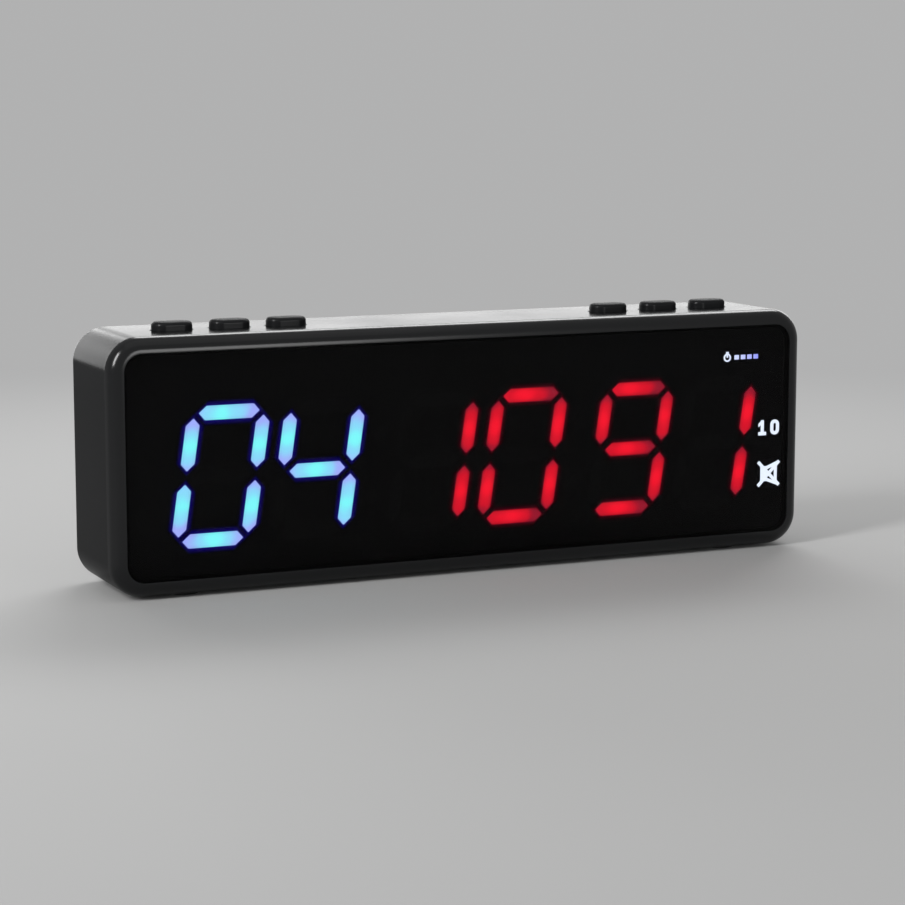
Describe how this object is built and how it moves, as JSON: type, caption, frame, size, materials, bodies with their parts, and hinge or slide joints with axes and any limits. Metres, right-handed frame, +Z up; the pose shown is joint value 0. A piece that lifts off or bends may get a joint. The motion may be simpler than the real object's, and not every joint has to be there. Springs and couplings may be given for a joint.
{
  "type": "interval timer",
  "caption": "Long rounded portable timer with slanted seven-segment figures in light blue and red behind a smoked window, and low push keys along its top edge.",
  "frame": {"origin": "on the surface the timer stands on, under the middle of its bounding box", "axes": "+X to the right seen from the front, +Y from the front to the back, +Z up"},
  "size_m": [0.246, 0.0396, 0.0848],
  "materials": {
    "case_plastic": "satin moulded dark grey",
    "cover_plastic": "fine texture, dark grey",
    "smoked_lens": "smoked glossy acrylic",
    "black_tape": "black foam tape",
    "screw_steel": "zinc plated steel",
    "foot_rubber": "black rubber",
    "insert_brass": "turned brass",
    "magnet_nickel": "nickel plated magnet",
    "box_black": "matt black moulding",
    "blue_light": "lit light-blue diffuser",
    "red_light": "lit red diffuser",
    "dark_diffuser": "unlit smoked diffuser",
    "sign_light": "lit white sign",
    "board_green": "solder mask",
    "led_body": "clear moulded chip",
    "chip_black": "moulded chip",
    "shield_tin": "tinned shield",
    "switch_black": "black moulded switch",
    "cell_wrap": "shrink-wrapped cell",
    "tab_nickel": "nickel strip",
    "wire_red": "red insulation",
    "wire_black": "black insulation",
    "plug_ivory": "ivory connector",
    "socket_steel": "stamped steel shell",
    "ribbon_ivory": "flat cable",
    "key_black": "black satin key"
  },
  "bodies": {
    "case": {"front_housing": "case_plastic", "display_lens": "smoked_lens", "lens_tape": "black_tape", "rear_cover": "cover_plastic", "cover_screws": "screw_steel", "rubber_feet": "foot_rubber", "stand_insert": "insert_brass", "magnets": "magnet_nickel", "light_box": "box_black", "blue_segments": "blue_light", "red_segments": "red_light", "unlit_segments": "dark_diffuser", "colon_dots": "dark_diffuser", "sign_windows": "dark_diffuser", "sign_symbols": "sign_light", "display_board": "board_green", "board_screws": "screw_steel", "blue_leds": "led_body", "red_leds": "led_body", "sign_leds": "led_body", "controller_chip": "chip_black", "radio_module": "shield_tin", "buzzer": "chip_black", "key_boards": "board_green", "key_board_screws": "screw_steel", "key_switches": "switch_black", "battery_cells": "cell_wrap", "battery_tabs": "tab_nickel", "battery_lead_red": "wire_red", "battery_lead_black": "wire_black", "battery_plug": "plug_ivory", "charge_board": "board_green", "charge_socket": "socket_steel", "key_ribbons": "ribbon_ivory", "charge_ribbon": "ribbon_ivory"},
    "key_1": {"key_cap_1": "key_black", "switch_plunger_1": "switch_black"},
    "key_2": {"key_cap_2": "key_black", "switch_plunger_2": "switch_black"},
    "key_3": {"key_cap_3": "key_black", "switch_plunger_3": "switch_black"},
    "key_4": {"key_cap_4": "key_black", "switch_plunger_4": "switch_black"},
    "key_5": {"key_cap_5": "key_black", "switch_plunger_5": "switch_black"},
    "key_6": {"key_cap_6": "key_black", "switch_plunger_6": "switch_black"}
  },
  "joints": [
    {"name": "key_1_press", "type": "slide", "parent": "case", "child": "key_1", "axis": [0, 0, -1], "range_m": [0, 0.0008], "stiffness_N_per_m": 2500},
    {"name": "key_2_press", "type": "slide", "parent": "case", "child": "key_2", "axis": [0, 0, -1], "range_m": [0, 0.0008], "stiffness_N_per_m": 2500},
    {"name": "key_3_press", "type": "slide", "parent": "case", "child": "key_3", "axis": [0, 0, -1], "range_m": [0, 0.0008], "stiffness_N_per_m": 2500},
    {"name": "key_4_press", "type": "slide", "parent": "case", "child": "key_4", "axis": [0, 0, -1], "range_m": [0, 0.0008], "stiffness_N_per_m": 2500},
    {"name": "key_5_press", "type": "slide", "parent": "case", "child": "key_5", "axis": [0, 0, -1], "range_m": [0, 0.0008], "stiffness_N_per_m": 2500},
    {"name": "key_6_press", "type": "slide", "parent": "case", "child": "key_6", "axis": [0, 0, -1], "range_m": [0, 0.0008], "stiffness_N_per_m": 2500}
  ]
}
